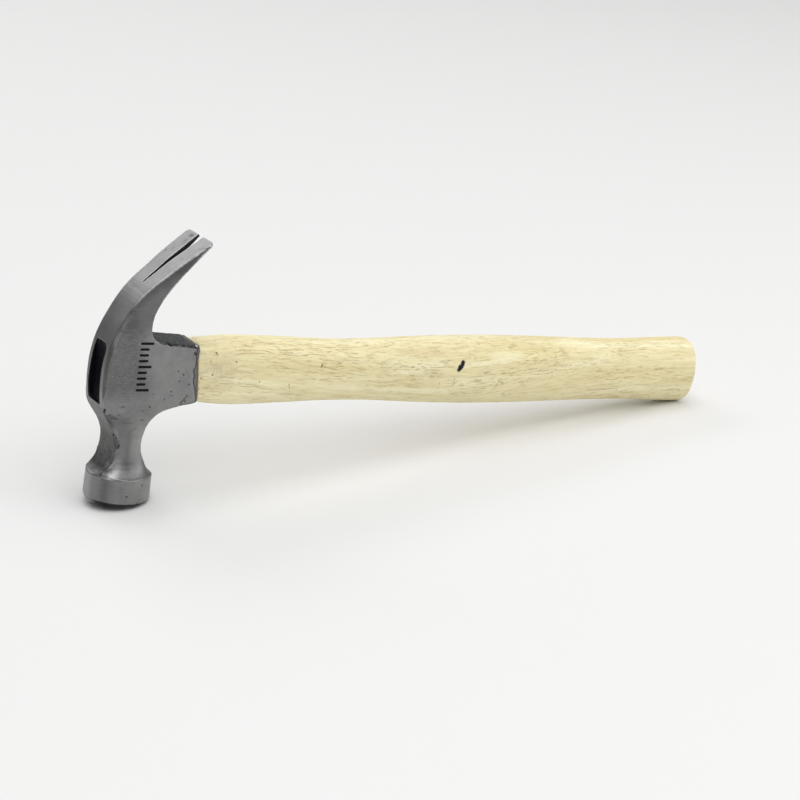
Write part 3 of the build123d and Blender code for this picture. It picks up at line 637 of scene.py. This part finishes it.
# a crisp painted highlight where the scoop meets the flare on the near side, with painted shade on either side of it
ridge = table([(-28.6, -5.2), (-32.35, -5.9), (-35.4, -6.7), (-38.3, -7.45), (-40.5, -8.1), (-42.2, -9.0)], z)
by_ridge = (y < -4) * step(-34.5, -37.5, z) * step(-42.5, -42.1, z)
painted_light = painted_light * (1 + 0.85 * by_ridge * np.exp(-((x - ridge - 0.2) / 1.25) ** 2))
painted_light = painted_light * (1 - 0.30 * by_ridge * step(-40.0, -41.3, z) * step(0.1, -0.3, x - ridge))
painted_light = painted_light * (1 - 0.38 * by_ridge * step(-38.0, -40.0, z) * np.exp(-((x - ridge - 4.2) / 1.6) ** 2))
# painted shade on the chamfer round the striking face, which sees only the shade under it
chamfer = step(-0.25, -0.50, nz) * step(-0.96, -0.90, nz) * (z < FACE_Z + 1.9)
painted_light = painted_light * (1 - 0.84 * chamfer * (1 - 0.75 * step(149, 163, np.abs(np.degrees(np.arctan2(y, x))))))
# painted shade: the claw's side is darkest just under the strip
under_strip = np.clip(26.8 - (-0.64 * x + 0.77 * z), 0, None)
painted_light = painted_light * (1 - 0.28 * flat_side * step(22.0, 29.0, z) * step(5.0, 0.8, under_strip))
around = np.degrees(np.arctan2(y, x))
poll = step(-41.9, -42.4, z)
# painted shade and painted highlights round the poll
painted_light = painted_light * (1 - 0.34 * poll * np.exp(-((around + 134) / 11.0) ** 2))
painted_light = painted_light * (1 + 0.38 * poll * step(158, 174, np.abs(around)))
painted_light = painted_light * (1 + 0.14 * poll * np.exp(-((around + 45) / 22.0) ** 2))

# pits and laps in the forging: (x, y, z, reach, depth), in millimetres
PITS = [
    (-12.9, -9.15, -13.9, 0.55, 0.6), (-13.0, -9.1, -14.7, 0.50, 0.5),
    (-7.2, -6.6, -24.9, 0.50, 0.3), (-6.2, -7.7, -25.7, 0.30, 0.15),
    (-5.1, -8.4, -29.1, 0.46, 0.5), (-5.4, -8.3, -29.9, 0.40, 0.45), (-4.9, -8.4, -28.5, 0.3, 0.3),
    (-6.5, 1.0, -34.2, 0.30, 0.12), (5.3, -12.0, -44.3, 0.34, 0.14), (5.7, -11.9, -44.8, 0.26, 0.1),
    (-1.3, -13.2, -48.4, 0.42, 0.16), (3.7, -12.8, -51.6, 0.34, 0.12), (4.4, -12.5, -51.4, 0.28, 0.1),
    (16.4, -9.15, 1.9, 0.34, 0.14), (18.5, -9.15, 0.65, 0.36, 0.16), (19.4, -9.15, 2.1, 0.22, 0.1), (19.9, -9.15, 1.6, 0.22, 0.1),
    (17.15, -9.15, -2.2, 0.34, 0.14), (21.2, -9.15, -3.5, 0.36, 0.16), (14.2, -9.15, -6.35, 0.36, 0.16),
    (14.1, -9.15, -7.5, 0.22, 0.1), (14.5, -9.15, -7.9, 0.22, 0.1), (14.95, -9.15, -8.4, 0.2, 0.08),
    (11.8, -9.15, -9.5, 0.32, 0.1), (6.0, -9.15, -12.7, 0.42, 0.1), (3.2, -9.15, -14.2, 0.3, 0.08), (6.6, -9.15, -7.2, 0.26, 0.06),
    (3.0, -9.1, -18.1, 0.26, 0.08), (3.7, -9.1, -18.2, 0.26, 0.08), (4.3, -9.1, -18.0, 0.2, 0.06), (0.6, -9.0, -21.7, 0.3, 0.1),
    (20.96, -9.15, -8.3, 0.32, 0.18), (20.5, -9.15, -8.9, 0.30, 0.18), (20.1, -9.15, -9.6, 0.33, 0.2), (19.7, -9.15, -10.2, 0.31, 0.2),
    (19.2, -9.15, -10.8, 0.34, 0.22), (18.8, -9.15, -11.3, 0.31, 0.22), (19.3, -9.15, -11.9, 0.30, 0.18), (20.6, -9.1, -10.8, 0.32, 0.18),
    (20.9, -9.1, -10.2, 0.24, 0.14), (20.0, -9.1, -11.5, 0.26, 0.14),
    (10.9, -7.2, 12.1, 0.50, 0.5), (11.2, -7.9, 12.1, 0.68, 0.7), (11.6, -8.6, 12.0, 0.75, 0.7), (12.0, -9.15, 11.5, 0.60, 0.5), (22.1, -8.6, 8.6, 0.5, 0.2), (21.7, -8.9, 9.2, 0.34, 0.15),
    (-0.7, -9.15, -19.2, 0.26, 0.05), (-1.6, -9.1, -19.35, 0.26, 0.05), (-2.6, -9.1, -19.5, 0.26, 0.05), (-3.6, -9.1, -19.3, 0.22, 0.05),
    (-4.3, -9.1, -18.8, 0.2, 0.04), (0.2, -9.1, -18.8, 0.2, 0.04),
]
SMUDGES = [(-11.0, -9.0, -16.1, 1.2), (-9.5, -9.1, -16.9, 1.3), (-8.1, -9.1, -17.3, 0.9), (-7.0, -9.1, -15.9, 0.5), (-5.4, -9.1, -12.5, 0.9)]
rng = np.random.RandomState(7)
for i in range(70):  # the other cheek and the rest carry their own scatter
    px, pz = rng.uniform(-9, 22), rng.uniform(-50, 30)
    PITS.append((px, 9.15 if pz > -20 else 8.6 if pz > -38 else 13.0, pz, rng.uniform(0.16, 0.4), rng.uniform(0.05, 0.16)))
pit = np.zeros(len(v))
sink = np.zeros(len(v))
rag = noise(v, 0.33, 40, 2)
for cx, cy, cz, reach, depth in PITS:
    near_it = np.abs(v - (cx, cy, cz)).max(1) < 1.6
    i = np.nonzero(near_it)[0]
    if len(i):  # settle it on the skin
        cx, cy, cz = v[i[((v[i] - (cx, cy, cz)) ** 2).sum(1).argmin()]]
    near_it = np.abs(v - (cx, cy, cz)).max(1) < reach * 2.2 + 0.6
    i = np.nonzero(near_it)[0]
    d = np.sqrt(((v[i] - (cx, cy, cz)) ** 2 * (1, 0.35, 1)).sum(1)) / (reach * 1.15) + 0.3 * rag[i]
    f = step(1.2, 0.35, d)
    pit[i] = np.maximum(pit[i], f * min(1.0, 0.60 + depth * 2.4))
    sink[i] = np.maximum(sink[i], f * depth)
smudge = np.zeros(len(v))
for cx, cy, cz, reach in SMUDGES:
    d = np.sqrt(((v - (cx, cy, cz)) ** 2 * (0.45, 0.3, 1.8)).sum(1)) / reach
    smudge = np.maximum(smudge, step(1.2, 0.2, d + 0.25 * noise(v, 0.8, 44, 2)))

# black resin smeared over the wall of the eye's mouth
smear_y = 5.22 + np.where(y < 0, 0.5, 0.2 + 1.1 * step(4.0, -10.0, z))
smear_z = np.where(z > -0.35, 11.75, 12.35)
corner = np.where((y < 0) & (z > 0), 3.0, 0.9)
qy, qz = np.abs(y) - (smear_y - corner), np.abs(z + 0.35) - (smear_z - corner)
mouth_d = np.hypot(np.clip(qy, 0, None), np.clip(qz, 0, None)) + np.minimum(np.maximum(qy, qz), 0) - corner
mouth_d = mouth_d + 0.08 * noise(v, 1.1, 81, 2)
mouth = step(0.30, 0.10, mouth_d) * (x < -11.2) * ((np.abs(ny) > 0.35) | (np.abs(nz) > 0.35) | (mouth_d < 0.1))

# curvature: painted highlights along the convex edges
lap = neighbour_mean(v, e, deg) - v
convex = -(lap * n0).sum(1)
for i in range(2):
    convex = neighbour_mean(convex, e, deg)
claw_edge = step(28.0, 36.0, z)
edge_highlight = step(0.028 - 0.012 * claw_edge, 0.085 - 0.045 * claw_edge, convex / VOX) * (0.35 + 0.65 * claw_edge)
edge_highlight *= 0.6 + 0.4 * noise(v, 1.6, 61, 3)
edge_highlight = np.clip(edge_highlight, 0, 1) * (1 - 0.8 * forged) * (1 - mouth) * (1 - rim_band)

# a small bright speck on the near top corner of the socket, drawn with the edge highlights
_c = v[((v - (22.4, -8.4, 12.0)) ** 2).sum(1).argmin()]
bright_speck = step(0.75, 0.45, np.sqrt(((v - _c) ** 2).sum(1)))
edge_highlight = np.maximum(edge_highlight, bright_speck)
forged, rim_band, rim_step_shade = forged * (1 - bright_speck), rim_band * (1 - bright_speck), rim_step_shade * (1 - bright_speck)

# surface relief
relief = 0.028 * noise(v, (7, 7, 7), 3, 2) + 0.010 * noise(v, (2.4, 2.4, 2.4), 12, 2)
relief += forged * (0.10 * noise(v, (1.7, 1.7, 1.7), 21, 3) + 0.06 * noise(v, (0.6, 0.6, 0.6), 25, 2))
relief -= rim_band * side * (0.07 + 0.55 * rim_t ** 2.0)
relief -= 0.05 * rim_step_shade
relief -= sink
relief -= bevel * 0.04
relief *= ~inside_eye
v = v + n0 * relief[:, None]
# the chamfer is taller where the face stands clear of the bench
clear = np.clip(to_row(v)[:, 2] / MM, 0, 10)
v[:, 2] -= np.minimum(0.9, 0.33 * clear) * step(FACE_Z + 1.3, FACE_Z + 0.2, v[:, 2]) * (v[:, 2] < -45)
# the top of the socket stands a little higher than the plain solid
rim_lean = (0.35 * step(-12.5, -8.0, z) + 0.65 * step(5.0, 12.5, z)) * step(14.0, 22.0, x) * step(19.5, 14.0, z)
v[:, 0] += rim_lean * ~inside_eye
v[:, 2] += 0.9 * step(7.0, 11.0, z) * step(19.5, 13.5, z) * step(1.5, 6.5, x) * ~inside_eye
# the claws are a little thicker towards the tips, and their tips are rounded off
below = 26.8 - (-0.64 * x + 0.77 * z)
grow = np.interp(z, [33, 39, 44, 50, 56], [0, 0.35, 0.75, 0.7, 0.6]) * step(2.6, 0.0, below) * step(32.5, 34.0, z)
v = v + grow[:, None] * (-0.64, 0, 0.77)
out = 0.77 * v[:, 0] + 0.64 * v[:, 2]
tip = z > 44
stretch = 0.45 * step(44.0, 52.0, z)
v = v + stretch[:, None] * (0.77, 0, 0.64)
out = out + stretch
out_end = out[tip].max()
wide = np.abs(v[:, 1])
wide_end = wide[tip & (out > out_end - 1.2)].max()
du, dw = round_corner(np.clip(out_end - out, 0, None), np.clip(wide_end - wide, 0, None), np.full(len(v), 2.9))
v = v - (tip * du)[:, None] * (0.77, 0, 0.64)
v[:, 1] -= np.sign(v[:, 1]) * dw * tip
du, dw = round_corner(np.clip(out_end - out, 0, None), np.clip(wide - 2.0, 0, None), np.full(len(v), 0.9))
v = v - (tip * du)[:, None] * (0.77, 0, 0.64)
v[:, 1] += np.sign(v[:, 1]) * dw * tip
v = v + 0.25 * (neighbour_mean(v, e, deg) - v)

# the mouth attribute carries the resin smear and the slot walls' painted shade
for name, val in (("forged", forged), ("pit", pit), ("mouth", np.maximum(mouth, slot_wall_shade * 0.93)), ("strip", strip), ("edge_highlight", edge_highlight),
                  ("bevel", bevel), ("scoop", scoop), ("coarse", coarse), ("rim", rim_band), ("rim_shade_and_facet_line", np.maximum(rim_step_shade, ragged_line * 0.9)), ("smudge", smudge), ("painted_light", painted_light)):
    put_attr(me, name, np.asarray(val, float))
head = finish_piece(me, v, "head_forging", STEEL, "head")

# --------------------------------------------------------------------- handle
me, v, e, deg = dense_copy("handle", 0.45, 4)
n0 = normals_of(me, v)
x, y, z = v.T
nx, ny, nz = n0.T
shoulder_x = 26.1 + (23.7 - 26.1) * (z + 11.9) / (11.45 + 11.9)
outside = x > shoulder_x - 0.3
relief = outside * (
    0.055 * noise(v, (28, 5, 5), 2, 2) + 0.022 * noise(v, (9, 1.6, 1.6), 6, 3)
)
ragged = step(4.0, 0.0, x - shoulder_x) * outside
relief += ragged * (0.16 * noise(v, (1.6, 0.8, 0.8), 9, 3) - 0.03)
v = v + n0 * relief[:, None]
# greyer wood next to the head, in a band near x = 34 and in a patch near x = 133
greyed = step(33.0, 24.0, x) * 0.45 + step(10.0, 0.0, np.abs(x - 34) + 3.5 * noise(v, (5, 3, 3), 14, 2)) * step(10, 3, np.abs(z - 1.5)) * 0.85
greyed = np.clip(greyed + 0.5 * step(7, 0, np.hypot(x - 133, (z - 1) * 1.4) + 3 * noise(v, 3.0, 15, 2)), 0, 1) * outside
speck = np.zeros(len(v))
for cx, cz, rx, rz in (
    (107.0, 4.3, 4.5, 1.7), (111.0, 4.6, 3.0, 1.5), (115.4, 0.9, 1.4, 1.0), (123.2, 3.0, 3.6, 1.2), (125.5, 5.0, 3.0, 2.6),
    (132.0, 8.0, 3.2, 1.8), (139.5, 5.8, 3.0, 2.2), (133.6, 0.6, 2.0, 1.4), (136.5, -4.0, 3.0, 1.2), (142.6, -2.4, 2.4, 2.6),
    (149.0, -8.0, 4.0, 2.0), (88, 4.4, 5, 2.0), (80.5, 4.2, 2.2, 1.6), (166.0, -3.0, 5.0, 2.0), (171, -8.5, 4, 1.5), (34, 9.0, 2.0, 1.2),
    (66, -5, 3, 2), (262, -8, 5, 2.0), (43.0, 10.6, 2.4, 1.6), (152.0, 9.0, 3.5, 2.4),
):
    speck = np.maximum(speck, step(1.3, 0.4, np.hypot((x - cx) / rx, (z - cz) / rz)))
speck *= (y < 2)
far_side = (y > 2) * step(0.45, 0.8, noise(v, (14, 6, 4), 52, 2))
speck = np.maximum(speck, far_side * 0.7)
# the grain wanders off the axis: down towards the middle, up again after it
_xs = np.linspace(-20, 280, 301)
_slope = np.interp(_xs, [0, 30, 60, 110, 135, 160, 200, 240, 272], [0, -2, -4.5, -4, 0, 6, 6.5, 3, 1])
_rise = np.cumsum(np.tan(np.radians(_slope)))


def grain_of(p):
    q = p.copy()
    q[:, 2] -= np.interp(p[:, 0], _xs, _rise)
    q[:, 1] += 0.4 * np.interp(p[:, 0], _xs, _rise)
    return q


# one dark stained nick on the near side
sx, sz = (x - 145.95), (z - 4.45)
u_, w_ = sx * 0.52 + sz * 0.854, sx * 0.854 - sz * 0.52
nick = np.hypot(u_ / 2.85, w_ / 1.2) + 0.14 * noise(v, 0.7, 77, 2)
cleft = step(0.30, 0.12, np.abs(u_ * 0.9 + w_ * 0.5 - 0.15)) * step(-0.1, -0.6, w_)
spot = step(1.10, 0.92, nick) * (y < 0) * (1 - 0.85 * cleft)
v = v - n0 * (0.16 * step(1.1, 0.5, nick) * (y < 0))[:, None]
v[:, 0] += (0.35 * step(-12.5, -8.0, z) + 0.65 * step(5.0, 12.5, z)) * step(20.0, 23.0, x) * step(44.0, 27.0, x)
endgrain = step(0.72, 0.9, nx) * (x > BUTT_X - 1.6)
for name, val in (("greyed", greyed), ("speck", speck), ("spot", spot), ("endgrain", endgrain)):
    put_attr(me, name, np.asarray(val, float))
put_attr(me, "grain", grain_of(v))
handle = finish_piece(me, v, "handle_hardwood", WOOD, "handle")
wood_v, wood_n = v[x > 24.0], n0[x > 24.0]

# ------------------------------------------------- torn fibres at the shoulder
def strand(points, radii, sides=7):
    pts = np.array(points, float)
    verts, faces = [], []
    for i, p in enumerate(pts):
        t = pts[min(i + 1, len(pts) - 1)] - pts[max(i - 1, 0)]
        t /= np.linalg.norm(t)
        a = np.cross(t, [0.31, 0.77, 0.55])
        a /= np.linalg.norm(a)
        b = np.cross(t, a)
        for k in range(sides):
            ang = 2 * math.pi * k / sides
            verts.append(p + radii[i] * (a * math.cos(ang) + b * math.sin(ang) * 0.6))
    m = len(pts)
    for i in range(m - 1):
        for k in range(sides):
            k2 = (k + 1) % sides
            faces.append((i * sides + k, i * sides + k2, (i + 1) * sides + k2, (i + 1) * sides + k))
    faces.append(tuple(range(sides))[::-1])
    faces.append(tuple((m - 1) * sides + k for k in range(sides)))
    return verts, faces


rng = np.random.RandomState(21)
V, F = [], []
roots = [(25.6, -4.8 + 1.1 * i, 12.85 - 0.03 * i, 1) for i in range(7)]
roots += [(24.9, -8.3, 9.9, 0), (25.0, -8.9, 8.6, 0), (24.8, -6.6, 11.3, 1), (25.3, -8.95, -9.4, -1), (25.5, -8.2, -10.6, -1), (25.1, -8.9, 3.2, 0)]
for rx, ry, rz, up in roots:
    length = rng.uniform(1.2, 2.6)
    back = rng.uniform(-1.0, 0.5)
    d = np.array([back, rng.uniform(-0.5, 0.5) - (0.7 if up == 0 else 0), (1.5 if up > 0 else -0.6 if up < 0 else 0.2) * rng.uniform(0.4, 1.0)])
    d /= np.linalg.norm(d)
    bend = rng.uniform(-0.5, 0.5, 3)
    base = np.array([rx + 0.6, ry, rz - 0.45 * (1 if up > 0 else -1 if up < 0 else 0)])
    if up == 0:
        base[1] += 0.45
    root = ((wood_v - base) ** 2).sum(1).argmin()  # rooted just under the skin of the wood
    lost = np.linalg.norm(base - wood_v[root])
    base = wood_v[root] - 0.35 * wood_n[root]
    length += min(lost, 0.7) + 0.1
    pts = [base + d * length * s + bend * (s ** 2) * 0.6 for s in np.linspace(0, 1, 6)]
    rad = [0.13 * (1 - 0.85 * s) for s in np.linspace(0, 1, 6)]
    a, b = strand(pts, rad)
    off = len(V)
    V += list(a)
    F += [tuple(i + off for i in f) for f in b]
me = bpy.data.meshes.new("torn_fibres")
me.from_pydata([tuple(p) for p in V], [], F)
for name in ("greyed", "speck", "spot", "endgrain"):
    put_attr(me, name, np.zeros(len(V)))
put_attr(me, "grain", grain_of(np.array(V)))
finish_piece(me, np.array(V), "torn_fibres", WOOD)

# ------------------------------------------- plain printed tick scale on the cheek
bm = bmesh.new()


def tick(cx, cz, w, h, lean):
    """A thin raised bar with rounded ends, lying on the -y cheek."""
    pts = []
    r = h / 2
    for k in range(9):
        a = math.pi / 2 + math.pi * k / 8
        pts.append((-w / 2 + r + r * math.cos(a), r * math.sin(a)))
    for k in range(9):
        a = -math.pi / 2 + math.pi * k / 8
        pts.append((w / 2 - r + r * math.cos(a), r * math.sin(a)))
    low = [bm.verts.new((cx + px + lean * pz, -HALF_CHEEK + 0.05, cz + pz)) for px, pz in pts]
    top = [bm.verts.new((cx + px * 0.985 + lean * pz, -HALF_CHEEK - 0.045, cz + pz * 0.96)) for px, pz in pts]
    bm.faces.new(low)
    bm.faces.new(top[::-1])
    for k in range(len(pts)):
        k2 = (k + 1) % len(pts)
        bm.faces.new((low[k2], low[k], top[k], top[k2]))


for i in range(9):
    cz = -5.75 + i * 2.37
    long = i % 4 == 0
    tick(1.0 + (0.85 if long else 0.0), cz, 5.7 if long else 4.0, 1.05, 0.0)
bmesh.ops.recalc_face_normals(bm, faces=bm.faces)
me = bpy.data.meshes.new("tick_scale")
bm.to_mesh(me)
bm.free()
co = np.array([p.co[:] for p in me.vertices])
finish_piece(me, co, "tick_scale", INK, smooth=False)

# ------------------------------------------------------------- carried-over CAD
for node, mat in (("resin_seal", RESIN), ("wood_wedge", WEDGE_WOOD), ("steel_wedge_upper", MILD), ("steel_wedge_lower", MILD)):
    ob = frame["nodes"][node]
    ob.data.materials.clear()
    ob.data.materials.append(mat)

# ---------------------------------------------------------------------- stage
def plain(name, col, rough):
    n = Net(name)
    tc = n.new("ShaderNodeTexCoord")
    a = n.noise(tc.outputs["Object"], 2.0, 3, 0.5)
    n.link(n.mix(n.mapr(a, 0.3, 0.7, 0, 0.25), col, tuple(c * 0.985 for c in col)), n.bsdf.inputs["Base Color"])
    n.bsdf.inputs["Roughness"].default_value = rough
    n.bsdf.inputs["Specular IOR Level"].default_value = 0.1
    return n.mat


bm = bmesh.new()
prof = [(-4.0, 0.0), (3.2, 0.0)] + [(3.2 + 1.6 * math.sin(a), 1.6 - 1.6 * math.cos(a)) for a in np.linspace(0.1, math.pi / 2, 14)] + [(4.8, 4.5)]
rows = [[bm.verts.new((xx, yy, zz)) for yy, zz in prof] for xx in (-6.0, 6.0)]
for k in range(len(prof) - 1):
    bm.faces.new((rows[0][k], rows[1][k], rows[1][k + 1], rows[0][k + 1]))
bmesh.ops.recalc_face_normals(bm, faces=bm.faces)
me = bpy.data.meshes.new("backdrop")
bm.to_mesh(me)
bm.free()
for p in me.polygons:
    p.use_smooth = True
floor = bpy.data.objects.new("backdrop", me)
floor.rotation_euler = (0, 0, math.radians(-29))
bpy.context.scene.collection.objects.link(floor)
me.materials.append(plain("pale_paper", (0.78, 0.78, 0.775), 0.85))

world = bpy.data.worlds.new("soft_world")
bpy.context.scene.world = world
world.use_nodes = True
wt = world.node_tree
bg = wt.nodes["Background"]
bg.inputs[0].default_value = (1.0, 1.0, 1.0, 1)
# a pale room, darker towards the left
tc = wt.nodes.new("ShaderNodeTexCoord")
dot = wt.nodes.new("ShaderNodeVectorMath")
dot.operation = "DOT_PRODUCT"
dot.inputs[1].default_value = Vector((0.62, 0.36, 0.69)).normalized()
wt.links.new(tc.outputs["Generated"], dot.inputs[0])
fade = wt.nodes.new("ShaderNodeMapRange")
fade.interpolation_type = "SMOOTHSTEP"
fade.inputs["From Min"].default_value = -0.55
fade.inputs["From Max"].default_value = 0.75
fade.inputs["To Min"].default_value = 0.12
fade.inputs["To Max"].default_value = 0.76
wt.links.new(dot.outputs["Value"], fade.inputs["Value"])
wt.links.new(fade.outputs["Result"], bg.inputs[1])


def area(name, at, look, size, radiance, size_y=None, colour=(1, 1, 1)):
    d = bpy.data.lights.new(name, "AREA")
    d.shape = "RECTANGLE"
    d.size, d.size_y = size, size_y or size
    d.energy = radiance * math.pi * d.size * d.size_y
    d.color = colour
    o = bpy.data.objects.new(name, d)
    bpy.context.scene.collection.objects.link(o)
    o.location = at
    o.rotation_euler = (Vector(look) - Vector(at)).to_track_quat("-Z", "Y").to_euler()
    return o


area("key_box", (0.0, -1.35, 1.60), (0.0, 0.0, 0.0), 2.4, 1.45, 1.5)
area("top_box", (0.10, 0.02, 1.90), (0.0, 0.0, 0.0), 1.5, 1.75, 1.3)
area("back_box", (-0.15, 1.75, 1.25), (-0.07, 0.0, 0.08), 1.3, 3.4, 0.55)
area("right_box", (1.35, -0.95, 0.60), (0.0, 0.0, 0.05), 1.1, 1.3, 0.9)

# --------------------------------------------------------------------- camera
cam_data = bpy.data.cameras.new("camera")
cam_data.lens = 99.0
cam_data.sensor_width = 36.0
cam_data.clip_start, cam_data.clip_end = 0.05, 30.0
cam = bpy.data.objects.new("camera", cam_data)
bpy.context.scene.collection.objects.link(cam)
right = Vector((0.8746469347994181, -0.4844715591726864, 0.016734628731126557))
up = Vector((0.14947363324821397, 0.30237190720913504, 0.9413972926954317))
fwd = Vector((0.46114029579896926, 0.8208888707270287, -0.33688438596489256))
cam.matrix_world = Matrix((
    (right.x, up.x, -fwd.x, -0.4329425311961289),
    (right.y, up.y, -fwd.y, -0.765272592149088),
    (right.z, up.z, -fwd.z, 0.3360420467219106),
    (0, 0, 0, 1),
))
bpy.context.scene.camera = cam
bpy.context.scene.view_settings.view_transform = "Standard"
